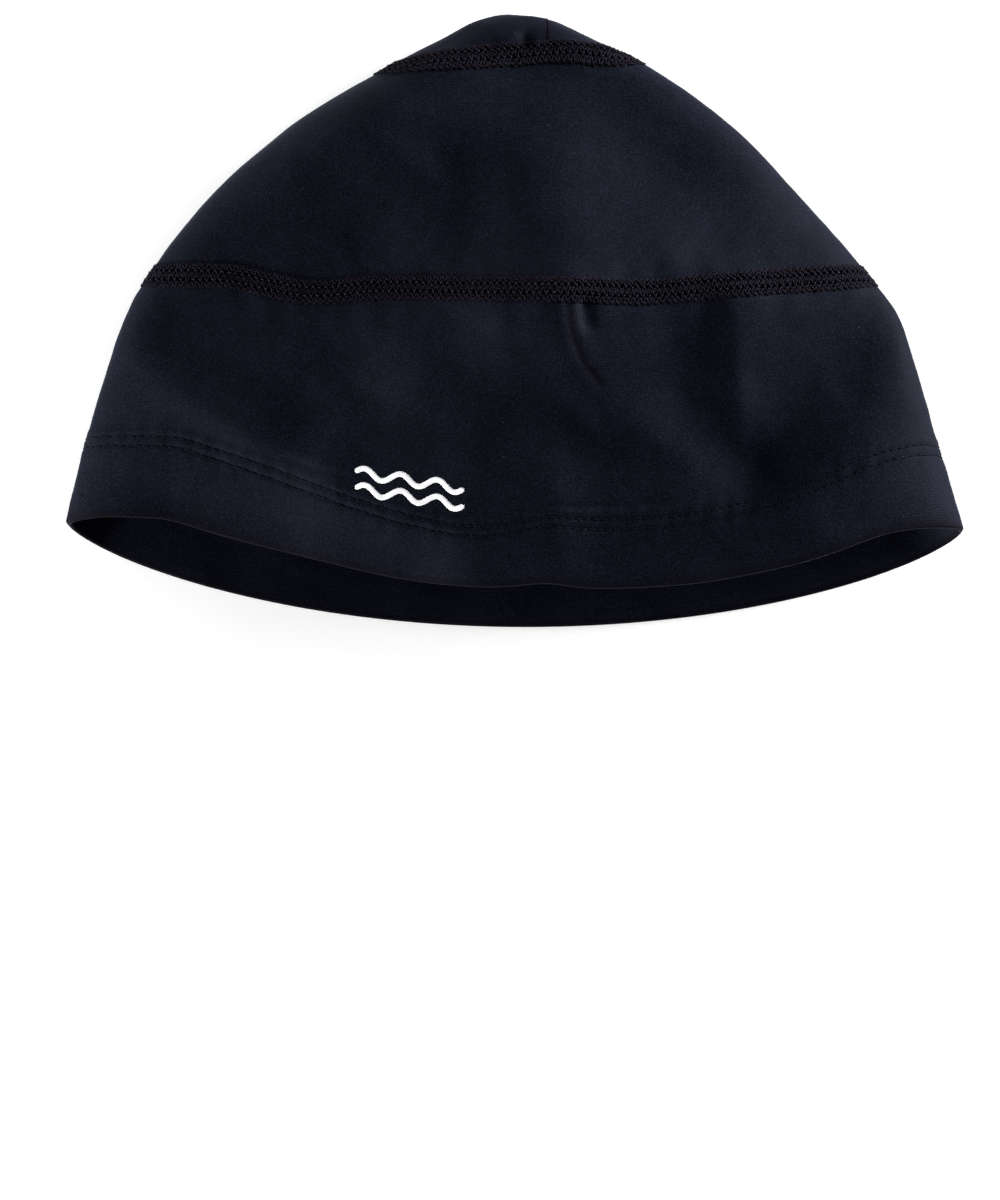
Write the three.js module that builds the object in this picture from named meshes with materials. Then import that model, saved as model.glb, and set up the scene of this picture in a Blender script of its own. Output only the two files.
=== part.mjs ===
// A swim cap of knitted elastic cloth, lying on its back and puffed up a little.
//
// Millimetres, +Z up. The mouth opens towards -Y, the crown points to +Y, and the back of the cap is
// flat on the plane z = 0. The cloth is one closed skin, cut into the pieces that are sewn together:
// a doubled hem, a lower panel, a long flat seam, a middle panel, a short flat seam, and a crown made
// of two halves. Each piece is a shell of its own that keeps a small gap to its neighbours.

import * as THREE from 'three';
import { mergeVertices } from 'three/addons/utils/BufferGeometryUtils.js';

const { clamp, lerp } = THREE.MathUtils;

const CLOTH = 1.2; // thickness of the panels and of the crown
const HEM_CLOTH = 2.0; // the hem is folded double
const HEM_DEPTH = 25.5; // from the mouth to the hem's raw edge, along the side fold
const SEAM_WIDTH = 6.8; // both flat seams are this wide
const SEAM_PROUD = 0.5; // their thread stands this far out of the cloth
const SEAM_INSIDE = 1.5; // and reaches this far in from the cloth's outer face
const LOWER_SEAM_RUN = 72.5; // the middle of the long seam, along the side fold from the mouth
const UPPER_SEAM_RUN = 158.5; // the middle of the short seam
const PIECE_GAP = 0.3; // between neighbouring pieces
const CROWN_SEAM_X = 8.7; // the crown's centre seam lies a little right of the middle
const LOBE_STEP = 0.6; // at that seam the left half stands out by this, and the right one lies in
const LOBE_REACH = 9; // the step fades over this distance
const SIDE_ROUND = 14; // how far the curve of a side fold reaches in under the cap
const PUFF = 0.7; // below 1 the front is fuller than an ellipse
const FRONT_COLUMNS = 48; // steps round the front of a ring, where the folds are
const BACK_COLUMNS = 24; // and round its back
const CROWN_COLUMNS = 26; // steps round each half of the crown

// One row for each ring of the skin, from the mouth to the tip of the crown. run is the distance from
// the mouth along the side fold. left and right are where the ring turns over at the two sides, seen
// from above. fold, top and under are the heights of those turns, of the middle of the front and of the
// middle of the back. front and back say how far the ring's middle lies off the line between its turns.
const RING_COLUMNS = ['run', 'leftX', 'leftY', 'rightX', 'rightY', 'fold', 'top', 'under', 'front', 'back'];
const RINGS = [
  [0, -123.1, -55.4, 123.1, -57.4, 9, 24, 0, -17.2, -27.4], // mouth
  [22.5, -117.7, -33.4, 116.2, -34.9, 11, 29.5, 0, -20.6, -27.2], // hem, near its stitches
  [50, -110, -8, 108.2, -8.4, 12, 34, 0, -14.6, -24.8], // lower panel
  [61, -106, 2.5, 104.5, 2.1, 12.3, 34.5, 0, -9.8, -20], // shoulders under the long seam
  [72.5, -100.6, 12.4, 97, 12.1, 12.5, 35, 0, -4.2, -13.8], // long seam
  [100, -82.9, 34.4, 77.6, 34.4, 12.5, 35.5, 0, -4.4, -14.2], // middle panel
  [131, -59.2, 54.8, 57.7, 54.8, 12, 33, 0, -1.6, -10.5], // where it slopes to the crown
  [158.5, -35.8, 69, 32.6, 71.9, 11.5, 26.5, 0, 2.6, -4.2], // short seam
  [176, -20.2, 77.1, 21.8, 77, 11.5, 22.5, 0.8, 2.2, -3.5], // crown
  [187, -10, 82.1, 15.4, 80.1, 11.5, 19, 3, 1, -1.5], // its nose
  [194, -1.6, 83.9, 11.6, 81.9, 11.5, 16, 6.5, 0.3, -0.4], // just before the tip
  [199, 8.7, 82.9, 8.7, 82.9, 11.5, 11.5, 11.5, 0, 0], // tip
];
const TIP_RUN = RINGS.at(-1)[0];
const NOSE_RUN = RINGS.at(-2)[0];

// The front of a ring hangs towards the mouth in a bow, deepest a little right of the middle. The back's
// bow is centred. centre and half are parts of the ring's half width.
const FRONT_BOW = { centre: 0.1, half: 0.88, power: 1.25 };
const BACK_BOW = { centre: 0, half: 1, power: 0.75 };

// Small waves of the hem and of the seams, seen from above: each moves the front's cloth by shift along
// Y, around a place across the cap and a run.
const WAVES = [
  { name: 'hem lifts beside the left fold', x: -106, run: 0, width: 16, reach: 26, shift: 2.8 },
  { name: 'hem lifts at the left fold', x: -116, run: 0, width: 8, reach: 20, shift: 2.2 },
  { name: 'hem hangs left', x: -28, run: 0, width: 20, reach: 18, shift: -0.9 },
  { name: 'hem lifts on the centre crease', x: 8.5, run: 8, width: 9, reach: 18, shift: 1.9 },
  { name: 'hem hangs right', x: 52, run: 0, width: 16, reach: 18, shift: -0.6 },
  { name: 'hem lifts beside the right fold', x: 106, run: 2, width: 17, reach: 22, shift: 5.4 },
  { name: 'long seam hangs left', x: -58, run: 72.5, width: 16, reach: 14, shift: -3.8 },
  { name: 'long seam hangs right', x: 36, run: 72.5, width: 15, reach: 14, shift: -1.2 },
  { name: 'short seam lifts left', x: -23, run: 158.5, width: 8, reach: 10, shift: 1.3 },
  { name: 'short seam lifts right', x: 18, run: 158.5, width: 11, reach: 9, shift: 1.7 },
];

// Folds of the front. A fold follows its route, [x, y] seen from above, and is as high as height on the
// route itself, below zero for a hollow. left and right say how far it reaches to the two sides of
// somebody who walks along the route.
const FOLDS = [
  { name: 'swell over the long seam', route: [[9, 3], [38, 15]], left: 18, right: 22, height: 8.5 },
  { name: 'flat before the crown', route: [[8, 62], [40, 46]], left: 26, right: 24, height: -8 },
  {
    name: 'flat of the left side',
    route: [[-91, 5], [-50, 26], [-20, 35]],
    left: 16,
    right: 18,
    height: -5.4,
  },
  {
    name: 'hollow below the long seam',
    route: [[-98, -7], [-70, 3], [-42, 14]],
    left: 12,
    right: 12,
    height: -2.4,
  },
  { name: 'left valley', route: [[-88, -57], [-60, -36], [-45, -20]], left: 12, right: 12, height: -2.6 },
  { name: 'right dip', route: [[23, -27], [61, -35]], left: 20, right: 20, height: -2.2 },
  { name: 'right corner', route: [[115, -41], [89, -60]], left: 22, right: 22, height: 6 },
  {
    name: 'right swell of the hem',
    route: [[115, -50], [90, -60], [62, -68]],
    left: 10,
    right: 12,
    height: 2.8,
  },
  { name: 'left slope of the hem', route: [[-94, -49], [-31, -65]], left: 8, right: 17, height: -2.2 },
  { name: 'left swell of the hem', route: [[-46, -57], [-36, -58]], left: 13, right: 13, height: 2 },
  { name: 'middle crease', route: [[12.5, 46], [11, 33], [12, 8]], left: 17, right: 32, height: 4 },
  {
    name: 'curved crease',
    route: [[12, 5.5], [15.5, -11], [26.5, -26], [45.5, -34.5]],
    left: 14,
    right: 7,
    height: 2.8,
  },
  { name: 'seam dimple', route: [[20.5, 1.5], [21.5, -2.5]], left: 7, right: 7, height: -1 },
  { name: 'right hollow', route: [[47, -3], [44, -19], [48, -33]], left: 8, right: 10, height: -1.8 },
  { name: 'right ridge', route: [[61, 4], [63, -27]], left: 15, right: 6, height: 3.2 },
  {
    name: 'outer hollow',
    route: [[103, -1.5], [86, -18], [68, -35.5]],
    left: 11,
    right: 18,
    height: -6.5,
  },
  {
    name: 'hollow above the outer one',
    route: [[100, 4], [84, -8], [68, -14]],
    left: 9,
    right: 12,
    height: -2.6,
  },
  { name: 'left ridge', route: [[-106, -8], [-72, -31], [-54, -38]], left: 12, right: 7, height: 2.9 },
  { name: 'left swell', route: [[-46, -18], [-10, 3]], left: 10, right: 14, height: 2.2 },
  { name: 'hem dip', route: [[0, -49], [1, -72]], left: 9, right: 9, height: -0.9 },
  { name: 'hem crease', route: [[9, -49], [10, -72]], left: 9, right: 20, height: 2.2 },
  { name: 'left shoulder', route: [[-50, 57], [-23, 35]], left: 7, right: 12, height: 2 },
  { name: 'left flank', route: [[-62, 44], [-40, 60]], left: 14, right: 14, height: 2.8 },
  { name: 'line in the outer hollow', route: [[86, -22], [74, -34]], left: 4, right: 6.5, height: 1 },
  { name: 'swell under the print', route: [[-16, -18], [-10, -65]], left: 25, right: 24, height: 3 },
];

const ringSpline = new THREE.CubicInterpolant(
  RINGS.map((ring) => ring[0]),
  RINGS.flat(),
  RING_COLUMNS.length,
);

// The ring at any run, by a smooth curve through the table, with its half width and its middle.
function ringAt(run) {
  const values = ringSpline.evaluate(run);
  const ring = Object.fromEntries(RING_COLUMNS.map((column, index) => [column, values[index]]));
  ring.half = (ring.rightX - ring.leftX) / 2;
  ring.middle = (ring.rightX + ring.leftX) / 2;
  return ring;
}

// A hump of height 1 that fades with the distance.
const bell = (distance, width) => Math.exp(-((distance / width) ** 2));

// A bow of depth 1 across a ring. across is -1 at the left fold and 1 at the right one.
const bow = ({ centre, half, power }, across) => Math.max(0, 1 - ((across - centre) / half) ** 2) ** power;

// The place of a route that lies nearest to a point: its distance, and on which side of the route the
// point lies, from -1 for right to 1 for left.
function nearestOnRoute(route, x, y) {
  let nearest = { distance: Infinity, side: 0 };
  for (let index = 1; index < route.length; index += 1) {
    const [startX, startY] = route[index - 1];
    const [stepX, stepY] = [route[index][0] - startX, route[index][1] - startY];
    const length = Math.hypot(stepX, stepY);
    const along = clamp(((x - startX) * stepX + (y - startY) * stepY) / length ** 2, 0, 1);
    const [awayX, awayY] = [x - startX - along * stepX, y - startY - along * stepY];
    const distance = Math.hypot(awayX, awayY);
    const side = (stepX * awayY - stepY * awayX) / (length * Math.max(distance, 1e-9));
    if (distance < nearest.distance) nearest = { distance, side };
  }
  return nearest;
}

function foldHeight(fold, x, y) {
  const { distance, side } = nearestOnRoute(fold.route, x, y);
  return fold.height * bell(distance, lerp(fold.right, fold.left, (1 + side) / 2));
}

// The outer face of the cloth. angle goes round the ring: 0 is the right fold, a quarter turn the
// middle of the front, a half turn the left fold, and the rest is the back, which lies on the table.
function skin(angle, run) {
  const ring = ringAt(clamp(run, 0, TIP_RUN));
  const across = Math.cos(angle);
  const lift = Math.sin(angle);
  const x = ring.middle + ring.half * across;
  let y = lerp(ring.leftY, ring.rightY, (1 + across) / 2);
  if (lift > 0) {
    y += ring.front * bow(FRONT_BOW, across);
    for (const { x: waveX, run: waveRun, width, reach, shift } of WAVES) {
      y += shift * lift * bell(x - waveX, width) * bell(run - waveRun, reach);
    }
    let z = ring.fold + (ring.top - ring.fold) * lift ** PUFF;
    // The folds fade out over the crown, so that the skin closes at its tip.
    const fade = clamp((TIP_RUN - run) / (TIP_RUN - UPPER_SEAM_RUN), 0, 1);
    for (const fold of FOLDS) z += lift * fade * foldHeight(fold, x, y);
    return new THREE.Vector3(x, y, z);
  }
  y += ring.back * bow(BACK_BOW, across);
  const inward = ring.half * (1 - Math.abs(across));
  const curve = Math.max(0, 1 - inward / Math.min(SIDE_ROUND, 0.6 * ring.half + 1e-6));
  const z = ring.under + (ring.fold - ring.under) * (1 - Math.sqrt(1 - curve ** 2));
  return new THREE.Vector3(x, y, z);
}

// A point of the cloth, out of its outer face by offset, or behind that face where offset is below
// zero. Nothing goes below the table.
function clothPoint(angle, run, offset) {
  if (run > TIP_RUN - 1e-6) return skin(angle, TIP_RUN).add(new THREE.Vector3(0, offset, 0));
  const step = 1e-3;
  const around = skin(angle + step, run).sub(skin(angle - step, run));
  const along = skin(angle, run + step).sub(skin(angle, run - step));
  const point = skin(angle, run).addScaledVector(along.cross(around).normalize(), offset);
  point.z = Math.max(0, point.z);
  return point;
}

// The run that lies a distance of cloth beyond another one.
function runBeyond(angle, run, distance) {
  const step = 0.5;
  return run + (distance * 2 * step) / skin(angle, run + step).distanceTo(skin(angle, run - step));
}

// The two edges of a flat seam, with or without the gap to the panels. side is -1 towards the mouth.
const seamEdge = (middleRun, side, gap) => (angle) =>
  runBeyond(angle, middleRun, side * (SEAM_WIDTH / 2 + gap));

// A closed shell over a grid of places on the cloth. place(column, row, offset) gives the point for a
// column and a row, both from 0 to 1. A shell that goes all the way round has no side rims.
function shellGeometry({ columns, rows, outer, inner, place, allRound }) {
  const wide = allRound ? columns : columns + 1;
  const positions = [];
  for (const offset of [outer, inner]) {
    for (let row = 0; row <= rows; row += 1) {
      for (let column = 0; column < wide; column += 1) {
        positions.push(...place(column / columns, row / rows, offset).toArray());
      }
    }
  }
  const out = (row, column) => row * wide + (column % wide);
  const inside = (row, column) => (rows + 1) * wide + out(row, column);
  const triangles = [];
  const quad = (a, b, c, d) => triangles.push(a, b, c, a, c, d);
  for (let column = 0; column < columns; column += 1) {
    const next = column + 1;
    for (let row = 0; row < rows; row += 1) {
      quad(out(row, column), out(row + 1, column), out(row + 1, next), out(row, next));
      quad(inside(row, column), inside(row, next), inside(row + 1, next), inside(row + 1, column));
    }
    quad(out(0, column), out(0, next), inside(0, next), inside(0, column));
    quad(out(rows, column), inside(rows, column), inside(rows, next), out(rows, next));
  }
  for (let row = 0; !allRound && row < rows; row += 1) {
    quad(out(row, 0), inside(row, 0), inside(row + 1, 0), out(row + 1, 0));
    quad(out(row, columns), out(row + 1, columns), inside(row + 1, columns), inside(row, columns));
  }
  return closedGeometry(positions, triangles);
}

// Joins equal points, and drops the triangles that this leaves without a surface.
function closedGeometry(positions, triangles) {
  const loose = new THREE.BufferGeometry();
  loose.setAttribute('position', new THREE.Float32BufferAttribute(positions, 3));
  loose.setIndex(triangles);
  const geometry = mergeVertices(loose, 1e-4);
  const corners = Array.from(geometry.getIndex().array);
  const kept = [];
  for (let first = 0; first < corners.length; first += 3) {
    const [a, b, c] = corners.slice(first, first + 3);
    if (a !== b && b !== c && c !== a) kept.push(a, b, c);
  }
  geometry.setIndex(kept);
  geometry.computeVertexNormals();
  return geometry;
}

function namedMesh(name, geometry, material) {
  const mesh = new THREE.Mesh(geometry, material);
  mesh.name = name;
  return mesh;
}

// The angle for a part of the way round a ring, from 0 to 1.
function ringAngle(part) {
  const frontPart = FRONT_COLUMNS / (FRONT_COLUMNS + BACK_COLUMNS);
  if (part < frontPart) return (Math.PI * part) / frontPart;
  return Math.PI * (1 + (part - frontPart) / (1 - frontPart));
}

// A piece that goes all the way round the cap, between two runs that may change round the ring.
function band(name, material, { from, to, rows, outer = 0, inner }) {
  const place = (column, row, offset) => {
    const angle = ringAngle(column);
    return clothPoint(angle, lerp(from(angle), to(angle), row), offset);
  };
  const columns = FRONT_COLUMNS + BACK_COLUMNS;
  return namedMesh(name, shellGeometry({ columns, rows, outer, inner, place, allRound: true }), material);
}

// One half of the crown, from the short seam to the tip, round its side from the centre seam in front
// to the centre seam at the back. side is -1 for the left half and 1 for the right one.
function crownHalf(name, material, side) {
  const edgeX = CROWN_SEAM_X + (side * PIECE_GAP) / 2;
  const startRun = seamEdge(UPPER_SEAM_RUN, 1, PIECE_GAP);
  const place = (column, row, offset) => {
    const ring = ringAt(lerp(startRun(Math.PI / 2), NOSE_RUN, row));
    const edgeAngle = Math.acos((edgeX - ring.middle) / ring.half);
    const startAngle = side < 0 ? edgeAngle : -edgeAngle;
    const angle = lerp(startAngle, side < 0 ? 2 * Math.PI - edgeAngle : edgeAngle, column);
    const run = lerp(startRun(angle), TIP_RUN, row);
    const face = skin(angle, run);
    const step = -side * LOBE_STEP * bell(face.x - edgeX, LOBE_REACH) * Math.min(1, face.z / SIDE_ROUND);
    const point = clothPoint(angle, run, offset + step);
    const onEdge = column === 0 || column === 1 || row === 1;
    point.x = onEdge ? edgeX : side * Math.max(side * point.x, side * edgeX);
    return point;
  };
  const shell = { columns: CROWN_COLUMNS, rows: 6, outer: 0, inner: -CLOTH, place, allRound: false };
  return namedMesh(name, shellGeometry(shell), material);
}

function navyCloth(name) {
  const material = new THREE.MeshStandardMaterial({ color: 0x1a1d2b, roughness: 0.85, metalness: 0 });
  material.name = name;
  return material;
}

function seamThread(name) {
  const material = new THREE.MeshStandardMaterial({ color: 0x121117, roughness: 0.7, metalness: 0 });
  material.name = name;
  return material;
}

const flatSeam = (name, middleRun) =>
  band(name, seamThread(`${name}_thread`), {
    from: seamEdge(middleRun, -1, 0),
    to: seamEdge(middleRun, 1, 0),
    rows: 2,
    outer: SEAM_PROUD,
    inner: -SEAM_INSIDE,
  });

function buildCap() {
  const cap = new THREE.Group();
  cap.add(
    band('hem', navyCloth('hem_cloth'), {
      from: () => 0,
      to: () => HEM_DEPTH,
      rows: 4,
      inner: -HEM_CLOTH,
    }),
    band('lower_panel', navyCloth('lower_cloth'), {
      from: (angle) => runBeyond(angle, HEM_DEPTH, PIECE_GAP),
      to: seamEdge(LOWER_SEAM_RUN, -1, PIECE_GAP),
      rows: 9,
      inner: -CLOTH,
    }),
    flatSeam('lower_seam', LOWER_SEAM_RUN),
    band('middle_panel', navyCloth('middle_cloth'), {
      from: seamEdge(LOWER_SEAM_RUN, 1, PIECE_GAP),
      to: seamEdge(UPPER_SEAM_RUN, -1, PIECE_GAP),
      rows: 11,
      inner: -CLOTH,
    }),
    flatSeam('upper_seam', UPPER_SEAM_RUN),
    crownHalf('crown_left', navyCloth('crown_left_cloth'), -1),
    crownHalf('crown_right', navyCloth('crown_right_cloth'), 1),
  );

  // The origin is on the table, under the middle of the cap.
  const box = new THREE.Box3().setFromObject(cap);
  const middle = box.getCenter(new THREE.Vector3());
  cap.position.set(-middle.x, -middle.y, -box.min.z);
  return cap;
}

export default buildCap();
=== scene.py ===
# %% [markdown]
# # A knitted swim cap, sewn over its solid model
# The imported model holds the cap's plain solids at their true size and place. This lesson dresses them
# as a maker would sew the real thing: elastic knitted cloth with a turned hem, two flat seams braided
# from real threads, two rows of hem stitches, and a crown of two halves. Every piece goes where the
# solids say, in the same frame, so the looks and the solids always agree.

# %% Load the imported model
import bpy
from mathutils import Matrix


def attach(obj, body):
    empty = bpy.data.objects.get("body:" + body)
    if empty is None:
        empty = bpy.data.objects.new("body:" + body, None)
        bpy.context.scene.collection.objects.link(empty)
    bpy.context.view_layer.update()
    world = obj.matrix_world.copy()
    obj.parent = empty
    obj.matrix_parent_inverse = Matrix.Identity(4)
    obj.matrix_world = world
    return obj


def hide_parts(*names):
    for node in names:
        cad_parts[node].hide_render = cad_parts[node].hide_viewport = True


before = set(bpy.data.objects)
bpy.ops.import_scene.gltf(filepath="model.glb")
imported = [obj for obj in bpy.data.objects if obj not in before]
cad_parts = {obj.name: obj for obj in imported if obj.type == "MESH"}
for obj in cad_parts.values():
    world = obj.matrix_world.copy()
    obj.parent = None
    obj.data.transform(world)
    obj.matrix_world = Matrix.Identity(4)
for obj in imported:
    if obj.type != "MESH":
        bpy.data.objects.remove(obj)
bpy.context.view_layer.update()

# %% [markdown]
# ## The tools of the trade
# Blender's own tools could model a cap by hand, but cloth that has to fit a given shape is easier to
# work out as numbers. Numpy does that for whole grids of points at once. All the sewing below is
# measured in millimetres, as a tailor would, and turned to metres when a mesh is made.

# %% Tools and units
import math

import bpy
import numpy as np

MILLIMETRE = 0.001


def lerp(start, end, part):
    """The value at a part of the way from start to end."""
    return start + (end - start) * part


def bell(distance, width):
    """A hump of height 1 that fades with the distance."""
    return np.exp(-((distance / width) ** 2))


def smooth_step(start, end, value):
    """0 up to start, 1 from end on, and a soft passage between them."""
    part = np.clip((value - start) / (end - start), 0, 1)
    return part * part * (3 - 2 * part)


# %% [markdown]
# ## How the cap lies
# A limp cap laid on a table is a stack of closed rings, from the mouth to the tip of the crown. Each
# ring turns over at a left and a right fold, bows towards the mouth in front, and lies flat at the
# back. The table below is the one that the solids are made from, so that cloth made from it fits them.
# A smooth curve through the rows gives every ring in between.

# %% The rings of the cap
# run, left x, left y, right x, right y, height of the folds, of the front, of the back, bow in front,
# bow at the back
RINGS = np.array([
    [0, -123.1, -55.4, 123.1, -57.4, 9, 24, 0, -17.2, -27.4],
    [22.5, -117.7, -33.4, 116.2, -34.9, 11, 29.5, 0, -20.6, -27.2],
    [50, -110, -8, 108.2, -8.4, 12, 34, 0, -14.6, -24.8],
    [61, -106, 2.5, 104.5, 2.1, 12.3, 34.5, 0, -9.8, -20],
    [72.5, -100.6, 12.4, 97, 12.1, 12.5, 35, 0, -4.2, -13.8],
    [100, -82.9, 34.4, 77.6, 34.4, 12.5, 35.5, 0, -4.4, -14.2],
    [131, -59.2, 54.8, 57.7, 54.8, 12, 33, 0, -1.6, -10.5],
    [158.5, -35.8, 69, 32.6, 71.9, 11.5, 26.5, 0, 2.6, -4.2],
    [176, -20.2, 77.1, 21.8, 77, 11.5, 22.5, 0.8, 2.2, -3.5],
    [187, -10, 82.1, 15.4, 80.1, 11.5, 19, 3, 1, -1.5],
    [194, -1.6, 83.9, 11.6, 81.9, 11.5, 16, 6.5, 0.3, -0.4],
    [199, 8.7, 82.9, 8.7, 82.9, 11.5, 11.5, 11.5, 0, 0],
])
TIP_RUN = 199.0
NOSE_RUN = 194.0
LONG_SEAM_RUN = 72.5
SHORT_SEAM_RUN = 158.5


def ring_values(run):
    """All the ring's values at a run, by the same smooth curve as the solids'."""
    runs, values = RINGS[:, 0], RINGS[:, 1:]
    slopes = np.diff(values, axis=0) / np.diff(runs)[:, None]
    tangents = np.vstack([slopes[:1], (slopes[1:] + slopes[:-1]) / 2, slopes[-1:]])
    run = np.clip(run, 0, TIP_RUN)
    row = np.clip(np.searchsorted(runs, run, side="right") - 1, 0, len(runs) - 2)
    width = (runs[row + 1] - runs[row])[..., None]
    t = (run[..., None] - runs[row][..., None]) / width
    before = (2 * t**3 - 3 * t**2 + 1) * values[row] + (t**3 - 2 * t**2 + t) * width * tangents[row]
    after = (3 * t**2 - 2 * t**3) * values[row + 1] + (t**3 - t**2) * width * tangents[row + 1]
    return np.moveaxis(before + after, -1, 0)


# %% [markdown]
# ## Waves and folds of the front
# The front of the cap is not a smooth dome: its hem and seams wave a little, and soft folds run over
# it where the cloth was pressed. A fold is written as a route over the cap seen from above, with its
# height and how far it reaches to each side. That keeps it easy to move, which a sculpted fold is not.

# %% Waves and folds
# x, run, width, reach and shift of each wave
WAVES = [
    (-106, 0, 16, 26, 2.8), (-116, 0, 8, 20, 2.2), (-28, 0, 20, 18, -0.9), (8.5, 8, 9, 18, 1.9),
    (52, 0, 16, 18, -0.6), (106, 2, 17, 22, 5.4), (-58, 72.5, 16, 14, -3.8), (36, 72.5, 15, 14, -1.2),
    (-23, 158.5, 8, 10, 1.3), (18, 158.5, 11, 9, 1.7),
]
# route, reach to the left and to the right of it, height
FOLDS = [
    ([(9, 3), (38, 15)], 18, 22, 8.5),
    ([(8, 62), (40, 46)], 26, 24, -8),
    ([(-91, 5), (-50, 26), (-20, 35)], 16, 18, -5.4),
    ([(-98, -7), (-70, 3), (-42, 14)], 12, 12, -2.4),
    ([(-88, -57), (-60, -36), (-45, -20)], 12, 12, -2.6),
    ([(23, -27), (61, -35)], 20, 20, -2.2),
    ([(115, -41), (89, -60)], 22, 22, 6),
    ([(115, -50), (90, -60), (62, -68)], 10, 12, 2.8),
    ([(-94, -49), (-31, -65)], 8, 17, -2.2),
    ([(-46, -57), (-36, -58)], 13, 13, 2),
    ([(12.5, 46), (11, 33), (12, 8)], 17, 32, 4),
    ([(12, 5.5), (15.5, -11), (26.5, -26), (45.5, -34.5)], 14, 7, 2.8),
    ([(20.5, 1.5), (21.5, -2.5)], 7, 7, -1),
    ([(47, -3), (44, -19), (48, -33)], 8, 10, -1.8),
    ([(61, 4), (63, -27)], 15, 6, 3.2),
    ([(103, -1.5), (86, -18), (68, -35.5)], 11, 18, -6.5),
    ([(100, 4), (84, -8), (68, -14)], 9, 12, -2.6),
    ([(-106, -8), (-72, -31), (-54, -38)], 12, 7, 2.9),
    ([(-46, -18), (-10, 3)], 10, 14, 2.2),
    ([(0, -49), (1, -72)], 9, 9, -0.9),
    ([(9, -49), (10, -72)], 9, 20, 2.2),
    ([(-50, 57), (-23, 35)], 7, 12, 2),
    ([(-62, 44), (-40, 60)], 14, 14, 2.8),
    ([(86, -22), (74, -34)], 4, 6.5, 1),
    ([(-16, -18), (-10, -65)], 25, 24, 3),
]


def fold_height(fold, x, y):
    """How high a fold lifts the cloth at each place seen from above."""
    route, left, right, height = fold
    nearest, side = np.full(np.shape(x), np.inf), np.zeros(np.shape(x))
    for (start_x, start_y), (end_x, end_y) in zip(route, route[1:]):
        step_x, step_y = end_x - start_x, end_y - start_y
        length = math.hypot(step_x, step_y)
        along = np.clip(((x - start_x) * step_x + (y - start_y) * step_y) / length**2, 0, 1)
        away_x, away_y = x - start_x - along * step_x, y - start_y - along * step_y
        distance = np.hypot(away_x, away_y)
        turn = (step_x * away_y - step_y * away_x) / (length * np.maximum(distance, 1e-9))
        side = np.where(distance < nearest, turn, side)
        nearest = np.minimum(distance, nearest)
    return height * bell(nearest, lerp(right, left, (1 + side) / 2))


# %% [markdown]
# ## The skin
# One function gives the cloth's outer face anywhere on the cap. The angle goes round a ring: 0 is the
# right fold, a quarter turn the middle of the front, a half turn the left fold, and the rest is the
# back. Each sewn piece below is a part of this one skin, so neighbours always meet.

# %% The skin of the cap
TABLE_SHIFT = -0.046  # the solids are centred on the table, which moves them this much along y
PUFF = 0.7  # below 1 the front is fuller than an ellipse
CURL = 14  # how far in from a side fold the back curls up to it
BOW_MIDDLE = 0.1  # the front's bow: its middle and its half width, where the folds are at -1 and 1
BOW_HALF = 0.88


def skin(angle, run):
    """Points of the cloth's outer face, for arrays of angles and runs."""
    angle, run = np.broadcast_arrays(np.asarray(angle, float), np.asarray(run, float))
    left_x, left_y, right_x, right_y, fold, top, under, front, back = ring_values(run)
    half, middle = (right_x - left_x) / 2, (right_x + left_x) / 2
    across, lift = np.cos(angle), np.sin(angle)
    x = middle + half * across
    level_y = lerp(left_y, right_y, (1 + across) / 2)
    above = np.maximum(lift, 0)
    front_y = level_y + front * np.maximum(0, 1 - ((across - BOW_MIDDLE) / BOW_HALF) ** 2) ** 1.25
    for wave_x, wave_run, width, reach, shift in WAVES:
        front_y = front_y + shift * above * bell(x - wave_x, width) * bell(run - wave_run, reach)
    front_z = fold + (top - fold) * above**PUFF
    fade = np.clip((TIP_RUN - run) / (TIP_RUN - SHORT_SEAM_RUN), 0, 1)
    front_z = front_z + sum(above * fade * fold_height(each, x, front_y) for each in FOLDS)
    back_y = level_y + back * np.maximum(0, 1 - across**2) ** 0.75
    inward = half * (1 - np.abs(across))
    curve = np.maximum(0, 1 - inward / np.minimum(CURL, 0.6 * half + 1e-6))
    back_z = under + (fold - under) * (1 - np.sqrt(np.maximum(0, 1 - curve**2)))
    y, z = np.where(lift > 0, front_y, back_y), np.where(lift > 0, front_z, back_z)
    return np.stack([x, y + TABLE_SHIFT, z], axis=-1)


def unit(vectors):
    """The same directions with length 1."""
    return vectors / np.maximum(np.linalg.norm(vectors, axis=-1, keepdims=True), 1e-12)


def ways_on_skin(angle, run):
    """Per unit of angle and per unit of run, how the skin goes on there."""
    step = 1e-3
    around = (skin(angle + step, run) - skin(angle - step, run)) / (2 * step)
    along = (skin(angle, run + step) - skin(angle, run - step)) / (2 * step)
    return around, along


print("middle of the front at the long seam, mm:", skin(math.pi / 2, LONG_SEAM_RUN).round(1))

# %% [markdown]
# ## How the cloth settles
# Sewing leaves marks: the cloth dips into a seam and puckers beside it, the doubled hem stands a
# little proud, stitches pull two fine grooves, and a crease or two stays from the packing. Large noise
# keeps the dome from looking turned on a lathe. All of it is a small height along the cloth's normal.

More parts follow.
